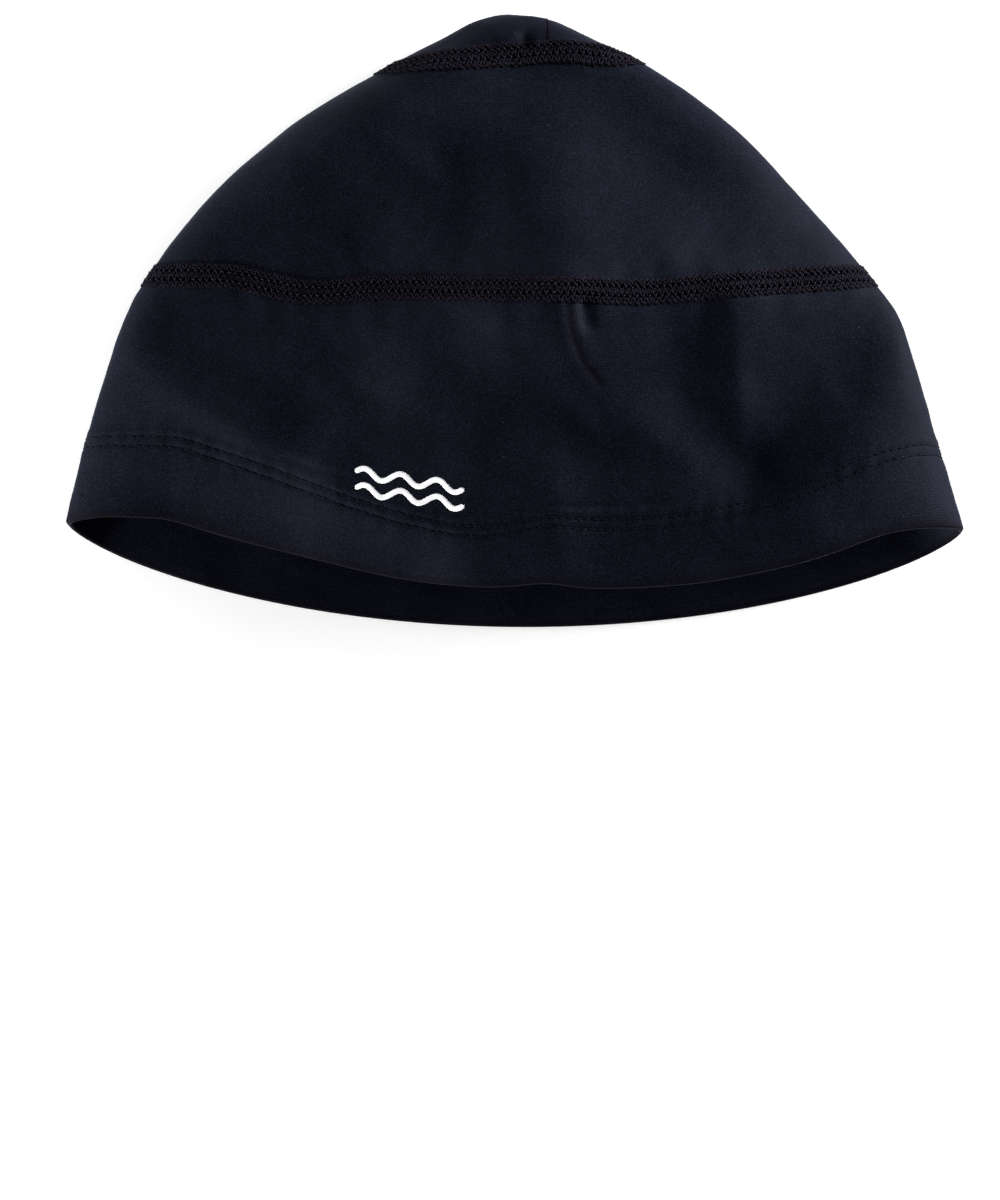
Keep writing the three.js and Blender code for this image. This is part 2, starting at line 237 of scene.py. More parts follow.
# %% Settled cloth
UPPER_STITCHES = [
    (-123, 23.9), (-99.6, 23.9), (-86, 23.4), (-69.6, 23.3), (-50.5, 21.9), (-33, 20.4), (-17.7, 19.6),
    (-9.6, 19.7), (1.4, 21.5), (8.2, 22.6), (23.2, 22.6), (50.5, 21.4), (77.8, 22.4), (94.2, 23.9),
    (109.2, 23.5), (117, 22.6),
]  # x, and the run of the hem's upper row of stitches there
ROW_DISTANCE = 2.9  # between the two rows of hem stitches
UNEVENNESS = ((0.18, 16, 3), (0.05, 6, 5))  # height, size and seed of the cloth's soft humps
PRESSED_CREASE = [(14.3, 4.6), (15, -2.7), (16.4, -6.8), (18.8, -12.3), (22.9, -17)]
THIN_CREASES = [
    (PRESSED_CREASE, 1.1, 1.1, -0.3),
    ([(18.9, 3.4), (19.3, -1.4)], 2.2, 1.4, -1),
    ([(6, -50.4), (17, -51.2), (30, -50.7), (37, -49.6)], 0.8, 0.7, -0.15),
    ([(-63, -37.6), (-55, -40.4), (-46, -42.8)], 0.9, 0.9, -0.2),
    ([(-3.5, 76.5), (1.2, 78.4)], 2.0, 1.6, 0.7),
    ([(2.4, 77.6), (3.2, 75.6)], 1.6, 1.6, -0.9),
]


def stitch_run(angle):
    """The run of the hem's upper row of stitches at each angle. The back's row is level."""
    x = skin(angle, 22.0)[..., 0]
    places, runs = np.array(UPPER_STITCHES).T
    front = np.interp(x, places, runs)
    return lerp(23.2, front, smooth_step(-0.25, 0.15, np.sin(angle)))


def soft_noise(x, y, size, seed):
    """Smooth noise, from about -1 to 1, with humps of a size."""
    chance = np.random.default_rng(seed)
    total = np.zeros(np.shape(x))
    for _ in range(10):
        way, phase = chance.uniform(0, 2 * math.pi, 2)
        turns = 2 * math.pi / (size * chance.uniform(0.9, 2.2))
        total += np.sin(turns * (x * math.cos(way) + y * math.sin(way)) + phase)
    return total / 4.5


def settle(angle, run, place):
    """How far the settled cloth stands out of the skin."""
    x, y = place[..., 0], place[..., 1]
    in_front = smooth_step(-0.15, 0.25, np.sin(angle))
    height = sum(lift * soft_noise(x, y, size, seed) for lift, size, seed in UNEVENNESS)
    height = height + in_front * sum(fold_height(each, x, y) for each in THIN_CREASES)
    for middle, reach in ((LONG_SEAM_RUN, 9.0), (SHORT_SEAM_RUN, 6.5)):
        away = np.abs(run - middle)
        pucker = soft_noise(x * 1.6, run * 0.35, 7, 11)
        height = height + 0.12 * pucker * bell(away - 5, reach - 3) - 0.16 * bell(away, 3.4)
    rows = stitch_run(angle)
    pull = soft_noise(x * 1.5, run * 0.4, 5, 17)
    height = height + 0.16 * (1 - smooth_step(rows + 1.6, rows + 3.2, run))
    for row in (rows, rows - ROW_DISTANCE):
        height = height - (0.2 + 0.06 * pull) * bell(run - row, 0.55)
    return height + 0.12 * pull * bell(run - rows + 1.5, 4.5)


def cloth_point(angle, run, offset):
    """Points of the settled cloth, out of its outer face by offset, and the normals there."""
    around, along = ways_on_skin(angle, run)
    normal = unit(np.cross(along, around))
    place = skin(angle, run)
    height = offset + settle(angle, run, place)
    place = place + normal * height[..., None]
    place[..., 2] = np.maximum(place[..., 2], 0)
    return place, normal


# %% [markdown]
# ## From points to pieces
# A mesh is made straight from the grids of points. The grid's corners carry a map of the cloth in
# centimetres, so that the knit's ribs later follow the weave of each piece and not the table. A
# closed piece has a volume, and its sign tells which way the faces look, so wrong ones are turned.

# %% Meshes from grids
MAP_UNIT = 10  # the cloth map is in centimetres


def grid_quads(rows, columns, closed_rows=True):
    """Corner numbers of a grid's quads, and the row and column that each corner stands for.

    The columns always close to a ring.
    """
    row = np.arange(rows if closed_rows else rows - 1)[:, None]
    column = np.arange(columns)[None, :]
    row, column = (grid.reshape(-1) for grid in np.broadcast_arrays(row, column))
    rows_at = np.stack([row, row + 1, row + 1, row], axis=-1)
    columns_at = np.stack([column, column, column + 1, column + 1], axis=-1)
    return (rows_at % rows) * columns + columns_at % columns, rows_at, columns_at


def cloth_object(name, points, quads, map_mm):
    """A smooth mesh object in metres, its faces turned outward. map_mm holds each corner's place."""
    a, b, c, d = (points[quads[:, corner]] for corner in range(4))
    volume = np.einsum("ij,ij->", a, np.cross(b, c) + np.cross(c, d))
    if volume < 0:
        quads, map_mm = quads[:, ::-1], map_mm[:, ::-1]
    mesh = bpy.data.meshes.new(name)
    mesh.vertices.add(len(points))
    mesh.vertices.foreach_set("co", (points * MILLIMETRE).astype(np.float32).ravel())
    mesh.loops.add(quads.size)
    mesh.loops.foreach_set("vertex_index", quads.astype(np.int32).ravel())
    mesh.polygons.add(len(quads))
    mesh.polygons.foreach_set("loop_start", np.arange(0, quads.size, 4, dtype=np.int32))
    layer = mesh.uv_layers.new(name="cloth_map")
    layer.data.foreach_set("uv", (map_mm / MAP_UNIT).astype(np.float32).ravel())
    mesh.update(calc_edges=True)
    mesh.validate()
    mesh.shade_smooth()
    piece = bpy.data.objects.new(name, mesh)
    bpy.context.scene.collection.objects.link(piece)
    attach(piece, "root")
    print(f"{name}: {2 * len(quads)} triangles")
    return piece


# %% [markdown]
# ## The lower panel and its turned hem
# On the real cap one strip of cloth goes round the head. Its lower edge is turned to the inside, which
# makes the hem two layers thick, and its upper edge goes under the long seam's braid. It is modelled
# as that one strip: a closed profile that climbs the outer face, comes back down the inner one, and
# runs up and down again in the turned layer. A Solidify modifier would give the thickness too, but
# neither the roll at the mouth nor the raw edge inside.

# %% Even steps round a ring
LAYER = 0.85  # thickness of one layer of the cloth
SLIT = 0.1  # between the two layers of the hem
FRONT_STEPS = 290
BACK_STEPS = 90
UNDER_BRAID = 2.7  # how far the panels' edges lie from the middle of a seam


def length_round(angles, run):
    """The distance round the skin up to each of a row of angles."""
    steps = np.linalg.norm(np.diff(skin(angles, run), axis=0), axis=-1)
    return np.concatenate([[0], np.cumsum(steps)])


def even_angles(run, front_steps, back_steps):
    """Angles that cut a ring into even lengths, finer in front than at the back."""
    angles = []
    for start, steps in ((0, front_steps), (math.pi, back_steps)):
        fine = np.linspace(start, start + math.pi, 2001)
        length = length_round(fine, run)
        angles.append(np.interp(np.linspace(0, length[-1], steps, endpoint=False), length, fine))
    return np.concatenate(angles)


def ring_lengths(angles, run):
    """The distance round a ring at each angle, with the whole girth at the end."""
    return length_round(np.append(angles, angles[0] + 2 * math.pi), run)


def beside_seam(angle, seam_run, distance):
    """The run at a distance square to a seam, and how the angle changes on the way there."""
    around, along = ways_on_skin(angle, seam_run)
    slant = (around * along).sum(-1) / (around * around).sum(-1)
    square = np.linalg.norm(along - slant[..., None] * around, axis=-1)
    return seam_run + distance / square, -slant * distance / square


def steps_between(start, end, step):
    """Parts of the way from 0 to 1, about a step apart, both ends left out."""
    count = max(2, round(abs(end - start) / step))
    return np.linspace(0, 1, count + 1)[1:-1]


# %% Profiles of the panels
def half_circle(middle_run, middle_offset, radius, start, steps):
    """A round edge in a profile: from the angle start it turns by half a circle, clockwise."""
    turn = start - np.linspace(0, math.pi, steps + 1)
    return [(middle_run + radius * math.cos(t), middle_offset + radius * math.sin(t)) for t in turn]


def cut_edge(run, offset):
    """The upper edge of a layer of cloth in a profile, from its outer to its inner face."""
    return [(run, offset - 0.1), (run + 0.2, offset - LAYER / 2), (run, offset - LAYER + 0.1)]


def panel_from_profile(name, angles, rows):
    """A panel all the way round. rows holds, for each row of its profile, the runs and the offset."""
    runs = np.array([np.broadcast_to(run, angles.shape) for run, _ in rows])
    offsets = np.array([np.broadcast_to(offset, angles.shape) for _, offset in rows])
    points, _ = cloth_point(np.broadcast_to(angles, runs.shape), runs, offsets)
    quads, rows_at, columns_at = grid_quads(*runs.shape)
    middle_rows = np.vstack([points, points[:1]])[:, len(angles) // 4]
    up = np.append(0, np.cumsum(np.linalg.norm(np.diff(middle_rows, axis=0), axis=-1)))
    round_about = ring_lengths(angles, float(runs.mean()))
    cloth_map = np.stack([round_about[columns_at], up[rows_at]], axis=-1)
    return cloth_object(name, points.reshape(-1, 3), quads, cloth_map)


lower_angles = even_angles(35.0, FRONT_STEPS, BACK_STEPS)
hem_rows = stitch_run(lower_angles)
RAW_EDGE = 1.8  # how far the turned layer reaches above the stitches
FINE_BELOW = 5.5  # the profile has finer steps from here below the stitches
FINE_ABOVE = 4.5  # to here above them
raw_edge = hem_rows + RAW_EDGE
lower_top, _ = beside_seam(lower_angles, LONG_SEAM_RUN, -UNDER_BRAID)
hem_half = LAYER + SLIT / 2
roll = half_circle(hem_half, -hem_half, hem_half, 1.5 * math.pi, 10)
outer = [(lerp(hem_half, hem_rows - FINE_BELOW, t), 0) for t in steps_between(0, 15, 1.1)]
outer += [(hem_rows + lerp(-FINE_BELOW, FINE_ABOVE, t), 0) for t in np.linspace(0, 1, 23)]
outer += [(lerp(hem_rows + FINE_ABOVE, lower_top, t), 0) for t in steps_between(0, 43, 0.85)]
inner = [(lerp(lower_top, 1.1, t), -LAYER) for t in steps_between(0, 70, 1.9)]
slit = [(1.0, -LAYER - SLIT / 2)]
hidden = [(lerp(1.1, raw_edge, t), -LAYER - SLIT) for t in steps_between(0, 25, 4)]
turned = [(lerp(raw_edge, hem_half, t), -2 * LAYER - SLIT) for t in steps_between(0, 25, 1.1)]
lower_profile = roll + outer + cut_edge(lower_top, 0) + inner + slit + hidden
lower_profile += cut_edge(raw_edge, -LAYER - SLIT) + turned
lower_cloth = panel_from_profile("lower_cloth", lower_angles, lower_profile)

# %% [markdown]
# A sharp bend opens the knit, and the dark inside of its loops shows; the same mark also paints the shade
# that falls in these bends. That happens on the roll at the mouth, along one pressed crease and at the
# crown's centre seam, so the points there get a mark that the cloth's finish reads later.

# %% Where the knit opens, and painted shade in the bends
def points_of(piece):
    """The x, y and z of a piece's points, in millimetres."""
    places = np.empty(len(piece.data.vertices) * 3, np.float32)
    piece.data.vertices.foreach_get("co", places)
    return (places.reshape(-1, 3) / MILLIMETRE).T


def mark_open_knit_and_crease_shade(piece, marks):
    """Notes on each point how open the knit is there and how much shade is painted on it, from 0 to 1."""
    layer = piece.data.attributes.new("open_knit_and_crease_shade", "FLOAT", "POINT")
    layer.data.foreach_set("value", marks.astype(np.float32))
    print(piece.name, "points where the knit opens:", int((marks > 0.3).sum()))


x, y, z = points_of(lower_cloth)
# painted shade, with the darker inside of the loops, along the pressed crease and on the roll at the mouth
on_crease = fold_height((PRESSED_CREASE, 0.75, 0.75, 1), x, y) * (z > 15)
on_roll = np.clip((12 - np.arange(len(x)) // len(lower_angles)) / 3, 0, 1)
mark_open_knit_and_crease_shade(lower_cloth, 0.9 * np.maximum(on_crease, on_roll))

# %% [markdown]
# ## The middle panel
# The large panel between the two seams tapers like the side of a tent. Both its edges lie under
# braids, so its profile is a plain loop: up the outer face, round the edge, down the inner face.

# %% The middle panel
middle_angles = even_angles(110.0, 250, 76)
middle_low, _ = beside_seam(middle_angles, LONG_SEAM_RUN, UNDER_BRAID)
middle_high, _ = beside_seam(middle_angles, SHORT_SEAM_RUN, -UNDER_BRAID)
middle_profile = [(middle_low, -0.1)]
middle_profile += [(lerp(middle_low, middle_high, t), 0) for t in np.linspace(0, 1, 101)]
middle_profile += cut_edge(middle_high, 0)
middle_profile += [(lerp(middle_high, middle_low, t), -LAYER) for t in np.linspace(0, 1, 41)]
middle_profile += [(middle_low - 0.2, -LAYER / 2)]
middle_cloth = panel_from_profile("middle_cloth", middle_angles, middle_profile)

# %% [markdown]
# ## The two halves of the crown
# The crown piece is cut in two halves with their ribs set slanting, and sewn down the middle. The left
# half stands a little proud of the right one. Each half is a sheet that goes from the seam in front,
# round its side, to the seam at the back, and closes at the tip. Bending a plane with modifiers would
# not keep the tip closed, so the sheet is worked out on the skin.

# %% The crown's halves
CROWN_SEAM_X = 8.7
CROWN_GAP = 0.12
LOBE_STEP = 0.1  # how far the left half stands proud at the seam, and the right one lies low
LOBE_REACH = 9.0
LOBE_FADE = 14  # below this height the step fades towards the table
SLANT = math.radians(55)  # how far the crown's ribs are turned


def seam_angle(run, x):
    """The front angle at which rings pass an x."""
    left_x, _, right_x = ring_values(run)[:3]
    return np.arccos(np.clip((x - (left_x + right_x) / 2) / ((right_x - left_x) / 2), -1, 1))


def crown_layer(side, columns, rows, offset):
    """One face of a half of the crown, as a grid of points. side is -1 for the left half."""
    edge_x = CROWN_SEAM_X + side * CROWN_GAP / 2
    front_run, _ = beside_seam(np.array(math.pi / 2), SHORT_SEAM_RUN, UNDER_BRAID)
    column, row = np.meshgrid(columns, rows)
    start = -side * seam_angle(lerp(float(front_run), NOSE_RUN, row), edge_x)
    end = (2 * math.pi if side < 0 else 0) - start
    angle = lerp(start, end, column)
    start_run, _ = beside_seam(angle, SHORT_SEAM_RUN, UNDER_BRAID)
    run = np.minimum(lerp(start_run, TIP_RUN, row), TIP_RUN - 0.02)
    face = skin(angle, run)
    from_seam = np.abs(face[..., 0] - edge_x)
    fade = np.minimum(1, face[..., 2] / LOBE_FADE)
    step = -side * LOBE_STEP * bell(from_seam, LOBE_REACH) * fade
    points, _ = cloth_point(angle, run, offset + step)
    keep = side * np.maximum(side * points[..., 0], side * edge_x)
    on_edge = (column == 0) | (column == 1) | (row == 1)
    points[..., 0] = np.where(on_edge, edge_x, keep)
    return points


def crown_half(name, side):
    """A half of the crown as a closed sheet: outer face, inner face and the rim between them."""
    fine = np.concatenate([[0, 0.004, 0.009, 0.016, 0.026], np.linspace(0.04, 0.96, 78)])
    columns = np.concatenate([fine, 1 - fine[4::-1]])
    rows = np.linspace(0, 1, 30)
    outside = crown_layer(side, columns, rows, 0.0)
    inside = crown_layer(side, columns, rows, -LAYER)[:, ::-1]
    points = np.concatenate([outside, inside], axis=1)
    quads, rows_at, columns_at = grid_quads(*points.shape[:2], closed_rows=False)
    flat = points[rows_at % points.shape[0], columns_at % points.shape[1]]
    turn_x, turn_y = math.cos(SLANT * side), math.sin(SLANT * side)
    turned_x = flat[..., 0] * turn_x + flat[..., 1] * turn_y
    turned_y = flat[..., 1] * turn_x - flat[..., 0] * turn_y
    count, width = points.shape[:2]
    column = np.arange(width // 2 - 1)
    mirror = width - 1 - column
    rim = np.stack([column, column + 1, mirror - 1, mirror], axis=-1)
    rims = np.concatenate([rim, rim[:, ::-1] + (count - 1) * width])
    points = points.reshape(-1, 3)
    cloth_map = np.concatenate([np.stack([turned_x, turned_y], axis=-1), points[rims][..., :2]])
    return cloth_object(name, points, np.concatenate([quads, rims]), cloth_map)


crown_left_cloth = crown_half("crown_left_cloth", -1)
crown_right_cloth = crown_half("crown_right_cloth", 1)
# painted shade along the crown's centre seam, with the darker inside of the loops
for half_cloth in (crown_left_cloth, crown_right_cloth):
    mark_open_knit_and_crease_shade(half_cloth, bell(points_of(half_cloth)[0] - CROWN_SEAM_X, 0.55))

# %% [markdown]
# ## Threads
# A thread is a thin tube along a curve that lies on the cloth. A curve object with a bevel would give
# round tubes too, but thousands of stitches are lighter and easier to vary as one mesh. Each tube's
# section stands on the cloth's own normal, so it never twists.

# %% Tubes along threads
def tube(points, normals, radius, sides, closed=True):
    """Corner points, quads and thread map of a tube, closed to a ring or with two loose ends."""
    ahead = np.roll(points, -1, axis=0) - np.roll(points, 1, axis=0)
    if not closed:
        ahead = np.gradient(points, axis=0)
    ahead = unit(ahead)
    across = unit(np.cross(ahead, normals))
    up = np.cross(across, ahead)
    turn = 2 * math.pi * (np.arange(sides) + 0.5) / sides
    ring = np.cos(turn)[None, :, None] * across[:, None] + np.sin(turn)[None, :, None] * up[:, None]
    corners = points[:, None] + ring * np.broadcast_to(radius, len(points))[:, None, None]
    quads, rows_at, columns_at = grid_quads(len(points), sides, closed_rows=closed)
    looped = np.vstack([points, points[:1]])
    length = np.append(0, np.cumsum(np.linalg.norm(np.diff(looped, axis=0), axis=-1)))
    thread_map = np.stack([columns_at / sides * 10, length[rows_at]], axis=-1)
    return corners.reshape(-1, 3), quads, thread_map


def threads_object(name, tubes):
    """One mesh from many tubes or bars."""
    first, points, quads, maps = 0, [], [], []
    for tube_points, tube_quads, tube_map in tubes:
        points.append(tube_points)
        quads.append(tube_quads + first)
        maps.append(tube_map)
        first += len(tube_points)
    return cloth_object(name, np.concatenate(points), np.concatenate(quads), np.concatenate(maps))


END_OF_BAR = [[0, 1, 2, 3], [0, 3, 4, 7], [4, 5, 6, 7]]
END_OF_TAPE = [[0, 1, 6, 7], [1, 2, 5, 6], [2, 3, 4, 5]]


def closed_bar(grid, end=END_OF_BAR):
    """Points, quads and map of a flat bar, from its rings of eight points. end closes both ends."""
    quads, _, _ = grid_quads(len(grid), 8, closed_rows=False)
    last_end = np.array(end)[:, ::-1] + (len(grid) - 1) * 8
    quads = np.concatenate([quads, end, last_end])
    points = grid.reshape(-1, 3)
    return points, quads, points[quads][..., :2]


# %% [markdown]
# ## The braided flat seams
# A flat seam joins two edges without a ridge: two needles sew rows of knots, and looper threads cross
# over and under the edges from side to side, until a braid about 7 mm wide covers the join. Each
# thread repeats once a stitch, so it is written as a small wave: how far it swings across the seam and
# how it rises and dips. Chance moves every stitch a little, because no machine sews twice the same.

# %% Places along a seam
STITCH = 1.83  # length of one stitch of the braid


def line_round(run_at):
    """For a line round the cap: the function from distance to angle, and the line's girth."""
    fine = np.linspace(0, 2 * math.pi, 6001)
    length = length_round(fine, run_at(fine))
    return (lambda distance: np.interp(distance % length[-1], length, fine)), length[-1]


def seam_line(seam_run):
    """For a seam, whose run is level: the function from distance to angle, and the girth."""
    return line_round(lambda angles: np.full(angles.shape, seam_run))


def on_seam(seam_run, distance, side, height):
    """Points at a distance along a seam, to the side of its middle, and out of the cloth."""
    angle_at, _ = seam_line(seam_run)
    angle = angle_at(distance)
    run, turn = beside_seam(angle, seam_run, side)
    return cloth_point(angle + turn, run, height)


def wander(stitch, count, size, seed):
    """A small change from stitch to stitch that closes round the seam."""
    values = np.random.default_rng(seed).normal(0, size, count)
    return np.interp(stitch % count, np.arange(count + 1), np.append(values, values[0]))


def zigzag(stitch):
    """A wave from -1 to 1, once a stitch, with straight flanks and round turns."""
    turn = 2 * math.pi * stitch
    return (np.sin(turn) - np.sin(3 * turn) / 9) / 1.11


def stitches(girth, length, samples):
    """How many stitches of a length go round a girth, and the samples along them."""
    count = round(girth / length)
    return count, np.arange(count * samples) / samples


# %% The braid
def braid_thread(seam_run, seed, samples, shape, side, start):
    """One endless thread of a braid. shape gives its swing, lead, height and radius at each stitch."""
    _, girth = seam_line(seam_run)
    count, stitch = stitches(girth, STITCH, samples)
    swing, lead, height, radius = shape(stitch + start)
    swing = side * swing + wander(stitch, count, 0.11, seed)
    lead = lead + wander(stitch, count, 0.07, seed + 1)
    height = height + wander(stitch, count, 0.025, seed + 2)
    points, normals = on_seam(seam_run, (stitch + lead) * girth / count, swing, height)
    return tube(points, normals, radius, 4)


def looper_wave(middle, reach, phase, height, bounce, beats, radius):
    """The shape of a looper thread: it swings by reach about a middle, and rises and falls."""
    def shape(at):
        lift = height + bounce * np.cos(2 * math.pi * beats * at)
        return middle + reach * zigzag(at + phase), 0.0, lift, radius
    return shape


# the ladder climbs between the knots and the edge, the filling lies lower and fills its steps, and
# the inner loop reaches from the middle over the row, between two holes
ladder = looper_wave(2.4, -0.72, 0.25, 0.25, 0.06, 2, 0.24)
filling = looper_wave(2.3, 0.85, 0.25, 0.1, 0.04, 2, 0.27)
inner_loop = looper_wave(0.75, -0.8, 0.25, 0.26, 0.05, 1, 0.21)
crossing = looper_wave(0.0, 0.6, 0.0, 0.16, 0.0, 1, 0.2)
INNER_WAVES = [looper_wave(0.0, reach, phase, -1.32, 0.06, 1, 0.17)
               for reach, phase in ((2.8, 0.0), (2.8, 0.5), (1.4, 0.25), (1.4, 0.75))]


def scallop(at):
    """The edge thread, which swings out in a small loop at each stitch."""
    out, ahead = np.cos(2 * math.pi * at), np.sin(2 * math.pi * at)
    return 3.0 + 0.36 * out, 0.1 * ahead, 0.16 + 0.1 * ahead, 0.2


ROW_OF_HOLES = 1.2  # how far the needles' rows lie from the middle of the braid
HOLE_AT = {1: 0.8, -1: 0.0}  # where in a stitch each row has its hole


def knots(at):
    """A needle thread: a fat knot a stitch, and a dip into the needle's hole after it."""
    part = at % 1
    knot = bell(part - 0.45, 0.15)
    dip = bell(np.minimum(part, 1 - part), 0.2)
    return ROW_OF_HOLES + 0 * part, 0.0, 0.3 + 0.18 * knot - 0.8 * dip, 0.11 + 0.15 * knot


def on_both_sides(shape):
    """A thread on each side of the braid, in step with its own row of holes."""
    return [(shape, side, -hole) for side, hole in HOLE_AT.items()]


def braid(name, seam_run, seed, threads, samples=10):
    """Some of the threads of one seam: shape, side and start of each."""
    tubes = []
    for number, thread in enumerate(threads):
        tubes.append(braid_thread(seam_run, seed + 10 * number, samples, *thread))
    return threads_object(name, tubes)


LOOPER_THREADS = on_both_sides(ladder) + on_both_sides(inner_loop)
LOOPER_THREADS += [(crossing, 1, 0.1), (crossing, 1, 0.6)] + on_both_sides(scallop)
FILLING_THREADS = on_both_sides(filling) + [(crossing, 1, 0.35)]
NEEDLE_THREADS = on_both_sides(knots)
lower_braid = braid("lower_braid", LONG_SEAM_RUN, 100, LOOPER_THREADS)
upper_braid = braid("upper_braid", SHORT_SEAM_RUN, 300, LOOPER_THREADS)
lower_filling = braid("lower_filling", LONG_SEAM_RUN, 1000, FILLING_THREADS)
upper_filling = braid("upper_filling", SHORT_SEAM_RUN, 1100, FILLING_THREADS)
lower_knots = braid("lower_knots", LONG_SEAM_RUN, 200, NEEDLE_THREADS)
upper_knots = braid("upper_knots", SHORT_SEAM_RUN, 400, NEEDLE_THREADS)

# %% [markdown]
# ## Under the braid
# Between the threads one sees the body of the join, which also closes the cap from the inside; its
# near-black colour is painted shade in the gaps. It is a flat band with round edges, lower than the
# threads, so that the gaps between them stay dark.
# Inside the cap, four more looper threads zigzag over it.

# %% The join and the braid inside
def join_band(name, seam_run):
    """The closed band of cloth edges and thread under a braid."""
    angles = even_angles(seam_run, 200, 70)
    rows = []
    for side, offset in ((-2.9, -0.2), (-2.5, -0.1), (-1.2, -0.2), (0, -0.1), (1.2, -0.2), (2.5, -0.1),
                         (2.9, -0.2), (2.9, -0.9), (2.5, -1.15), (0, -1.25), (-2.5, -1.15), (-2.9, -0.9)):
        rows.append((beside_seam(angles, seam_run, side)[0], offset))
    return panel_from_profile(name, angles, rows)


lower_join = join_band("lower_join", LONG_SEAM_RUN)
upper_join = join_band("upper_join", SHORT_SEAM_RUN)


INNER_THREADS = [(wave, 1, 0) for wave in INNER_WAVES]
lower_inner_braid = braid("lower_inner_braid", LONG_SEAM_RUN, 500, INNER_THREADS, 8)
upper_inner_braid = braid("upper_inner_braid", SHORT_SEAM_RUN, 600, INNER_THREADS, 8)

# %% [markdown]
# ## The crown's centre seam
# The two halves are joined from behind, and only a dark line shows outside. A thin thread in near-black
# painted shade fills that line, and a narrow tape inside follows it and closes it.

# %% The centre seam's tape and thread
def up_and_back(top, steps):
    """Runs from the crown's front braid to a top and down to the back one, and a sign for each."""
    up = np.linspace(SHORT_SEAM_RUN + 2, top, steps)
    return np.append(up, up[::-1]), np.repeat([1, -1], steps)


def centre_tape():
    """A closed narrow tape behind the meeting edges of the crown's halves."""
    rings = []
    for run, sign in zip(*up_and_back(NOSE_RUN, 26)):
        places = CROWN_SEAM_X + np.array([-2.2, -0.8, 0.8, 2.2])
        angle = sign * seam_angle(np.array(run), places) % (2 * math.pi)
        outside, _ = cloth_point(angle, run, np.array([-1.0, -0.75, -0.75, -1.0]))
        inside, _ = cloth_point(angle[::-1], run, np.array([-1.3, -1.5, -1.5, -1.3]))
        rings.append(np.concatenate([outside, inside]))
    return threads_object("crown_tape", [closed_bar(np.array(rings), END_OF_TAPE)])


def centre_thread():
    """The thread of painted shade in the line where the crown's halves meet, over the tip to the back."""
    runs, signs = up_and_back(TIP_RUN - 0.3, 60)
    angle = signs * seam_angle(runs, CROWN_SEAM_X)
    points, normals = cloth_point(angle, runs, -0.08)
    radius = np.full(len(runs), 0.26)
    radius[[0, -1]] = 0.01
    return threads_object("crown_seam_shade_thread", [tube(points, normals, radius, 6, closed=False)])


crown_tape = centre_tape()
crown_seam_shade_thread = centre_thread()

# %% [markdown]
# ## The hem's stitches
# Two needles sew the hem at once, which gives two rows of straight stitches on the outside. Each
# stitch is a short thread that comes out of one needle hole and dives into the next. Inside, a looper
# thread zigzags over the raw edge and holds it flat.

# %% Hem stitches
HEM_STITCH = 2.35
HEM_THREAD = 0.15  # half the thickness of the hem's threads


def hem_line(row_distance):
    """The same for a row of hem stitches, at a distance below the upper row."""
    return line_round(lambda angles: stitch_run(angles) - row_distance)


def hem_row(row_distance, seed):
    """The thread of one row and its needle holes."""
    angle_at, girth = hem_line(row_distance)
    count, stitch = stitches(girth, HEM_STITCH, 9)
    part = stitch % 1
    dip = bell(np.minimum(part, 1 - part), 0.13)
    angle = angle_at((stitch + wander(stitch, count, 0.03, seed)) * girth / count)
    run = stitch_run(angle) - row_distance + wander(stitch, count, 0.1, seed + 1)
    points, normals = cloth_point(angle, run, 0.13 - 0.5 * dip)
    return tube(points, normals, HEM_THREAD, 5), (angle_at, girth, count, row_distance, seed)


def needle_holes(name, rows):
    """Small dark marks of painted shade where the needles went through, just out of the cloth."""
    holes = []
    around = 2 * math.pi * np.arange(8) / 8
    for angle_at, girth, count, row_distance, seed in rows:
        stitch = np.arange(count, dtype=float)
        half_length = np.random.default_rng(seed + 5).uniform(0.3, 0.46, count)[:, None]
        shift = wander(stitch, count, 0.1, seed + 1)[:, None]
        rings = []
        for wide, out in ((1.0, -0.05), (0.9, 0.035), (0.02, 0.05)):
            angle = angle_at(stitch[:, None] * girth / count + wide * half_length * np.cos(around))
            run = stitch_run(angle) - row_distance + shift + 0.17 * wide * np.sin(around)
            rings.append(cloth_point(angle, run, out)[0])
        holes += [closed_bar(hole) for hole in np.stack(rings, axis=1)]
    return threads_object(name, holes)


upper_row, upper_holes = hem_row(0.0, 700)
lower_row, lower_holes = hem_row(ROW_DISTANCE, 800)
hem_stitches = threads_object("hem_stitches", [upper_row, lower_row])
hem_needle_hole_shade = needle_holes("hem_needle_hole_shade", [upper_holes, lower_holes])

# %% The looper thread inside the hem
def looper(seed, phase):
    """A zigzag over the raw edge inside the hem."""
    angle_at, girth = hem_line(ROW_DISTANCE / 2)
    count, stitch = stitches(girth, HEM_STITCH, 8)
    angle = angle_at(stitch * girth / count)
    swing = 1.9 * zigzag(stitch + phase) + wander(stitch, count, 0.08, seed)
    over_edge = smooth_step(1.2, 1.9, swing)
    inward = -2 * LAYER - SLIT - 0.14 + 0.75 * over_edge
    points, normals = cloth_point(angle, stitch_run(angle) - ROW_DISTANCE / 2 + swing * 1.35, inward)
    return tube(points, normals, HEM_THREAD, 4)


hem_looper = threads_object("hem_looper", [looper(900, 0.0), looper(910, 0.5)])

# %% [markdown]
# ## The print
# A small white mark is printed on the front. Here it is the plain sign for water: two level waves of
# even width with round ends. Real prints lie a few hundredths of a millimetre on the cloth and bend
# with it, so each wave is a thin ribbon that finds its place on the skin from above.

